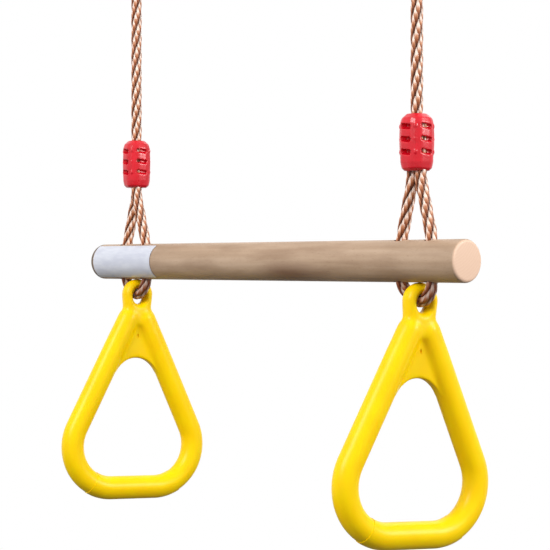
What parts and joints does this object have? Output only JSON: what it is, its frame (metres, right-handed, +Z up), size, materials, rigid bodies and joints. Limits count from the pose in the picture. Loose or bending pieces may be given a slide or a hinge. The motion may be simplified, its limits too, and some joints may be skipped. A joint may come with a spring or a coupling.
{
  "type": "trapeze bar",
  "caption": "Wooden trapeze bar hung on braided ropes with moulded rope clamps, with a triangular gym ring under each rope.",
  "frame": {"origin": "midway between the two steel rings, at the height where their hooks bear inside them", "axes": "+X along the bar towards its unlabelled end, +Y from the front of the bar to its back, +Z up"},
  "size_m": [0.5, 0.1505, 0.6421],
  "materials": {
    "wood": "sanded hardwood dowel, lightly sealed",
    "label": "satin vinyl film",
    "rope": "braided polypropylene, glossy",
    "clamp": "injection moulded, glossy",
    "ring": "injection moulded, glossy",
    "steel": "zinc plated"
  },
  "bodies": {
    "hangers": {"left_steel_ring": "steel", "right_steel_ring": "steel"},
    "left_eye": {"left_top_eye": "rope", "left_upper_clamp": "clamp"},
    "right_eye": {"right_top_eye": "rope", "right_upper_clamp": "clamp"},
    "left_rope_run": {"left_rope": "rope"},
    "right_rope_run": {"right_rope": "rope"},
    "bar": {"wooden_bar": "wood", "end_label": "label", "left_lower_clamp": "clamp", "right_lower_clamp": "clamp", "left_bar_loop": "rope", "right_bar_loop": "rope"},
    "left_gym_ring_body": {"left_gym_ring": "ring"},
    "right_gym_ring_body": {"right_gym_ring": "ring"}
  },
  "joints": [
    {"name": "left_swing", "type": "hinge", "parent": "hangers", "child": "left_eye", "pos_m": [-0.194, 0, -0.02], "axis": [1, 0, 0], "range_deg": [-60, 60]},
    {"name": "right_swing", "type": "hinge", "parent": "hangers", "child": "right_eye", "pos_m": [0.194, 0, -0.02], "axis": [1, 0, 0], "range_deg": [-60, 60]},
    {"name": "left_sway", "type": "hinge", "parent": "left_eye", "child": "left_rope_run", "pos_m": [-0.194, 0, -0.1196], "axis": [0, 1, 0], "range_deg": [-15, 15]},
    {"name": "right_sway", "type": "hinge", "parent": "right_eye", "child": "right_rope_run", "pos_m": [0.194, 0, -0.1196], "axis": [0, 1, 0], "range_deg": [-15, 15]},
    {"name": "bar_level", "type": "hinge", "parent": "left_rope_run", "child": "bar", "pos_m": [-0.194, 0, -0.2796], "axis": [0, 1, 0], "range_deg": [-15, 15]},
    {"name": "left_ring_swing", "type": "hinge", "parent": "bar", "child": "left_gym_ring_body", "pos_m": [-0.194, 0.0007, -0.4324], "axis": [0.9806, -0.1959, 0], "range_deg": [-90, 90]},
    {"name": "right_ring_swing", "type": "hinge", "parent": "bar", "child": "right_gym_ring_body", "pos_m": [0.194, 0.0038, -0.4324], "axis": [0.9839, -0.1788, 0], "range_deg": [-90, 90]}
  ],
  "couplings": [
    {"joint": "right_swing", "follows": "left_swing", "ratio": 1},
    {"joint": "right_sway", "follows": "left_sway", "ratio": 1},
    {"joint": "bar_level", "follows": "left_sway", "ratio": -1}
  ]
}
